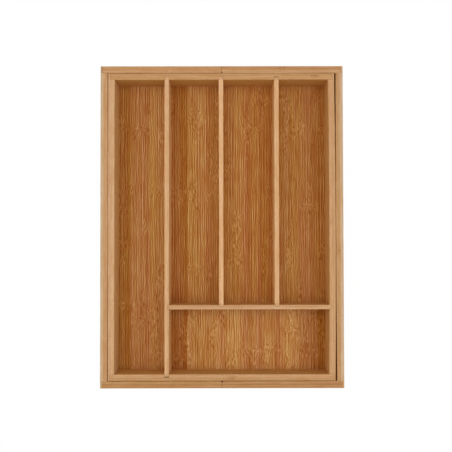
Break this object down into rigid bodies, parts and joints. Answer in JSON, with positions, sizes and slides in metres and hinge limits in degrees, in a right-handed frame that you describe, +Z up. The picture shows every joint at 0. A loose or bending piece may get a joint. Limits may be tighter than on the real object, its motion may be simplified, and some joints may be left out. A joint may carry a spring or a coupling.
{
  "type": "expandable cutlery tray",
  "caption": "Expandable bamboo cutlery tray, closed: a divided centre tray lies in two U-shaped side trays that slide out left and right to fit a drawer.",
  "frame": {"origin": "bottom centre of the closed tray, on the surface that it stands on", "axes": "+X to the right across the columns, +Y to the back along the compartments, +Z up"},
  "size_m": [0.28, 0.371, 0.05],
  "materials": {
    "outer_wall_bamboo": "satin clear lacquer",
    "inner_wall_bamboo": "satin clear lacquer",
    "divider_bamboo": "satin clear lacquer",
    "floor_bamboo": "satin clear lacquer",
    "key_bamboo": "planed, unlacquered",
    "pin_steel": "bright"
  },
  "bodies": {
    "centre_tray": {"centre_bottom_panel": "floor_bamboo", "centre_left_wall": "inner_wall_bamboo", "centre_right_wall": "inner_wall_bamboo", "centre_front_wall": "inner_wall_bamboo", "centre_back_wall": "inner_wall_bamboo", "long_divider": "divider_bamboo", "cross_divider": "divider_bamboo", "middle_short_divider": "divider_bamboo", "right_short_divider": "divider_bamboo", "front_left_key": "key_bamboo", "front_right_key": "key_bamboo", "back_left_key": "key_bamboo", "back_right_key": "key_bamboo", "centre_corner_pins": "pin_steel"},
    "left_tray": {"left_end_wall": "outer_wall_bamboo", "left_front_rail": "outer_wall_bamboo", "left_back_rail": "outer_wall_bamboo", "left_bottom_panel": "floor_bamboo", "left_corner_pins": "pin_steel"},
    "right_tray": {"right_end_wall": "outer_wall_bamboo", "right_front_rail": "outer_wall_bamboo", "right_back_rail": "outer_wall_bamboo", "right_bottom_panel": "floor_bamboo", "right_corner_pins": "pin_steel"}
  },
  "joints": [
    {"name": "left_slide", "type": "slide", "parent": "centre_tray", "child": "left_tray", "axis": [-1, 0, 0], "range_m": [0, 0.095]},
    {"name": "right_slide", "type": "slide", "parent": "centre_tray", "child": "right_tray", "axis": [1, 0, 0], "range_m": [0, 0.095]}
  ]
}
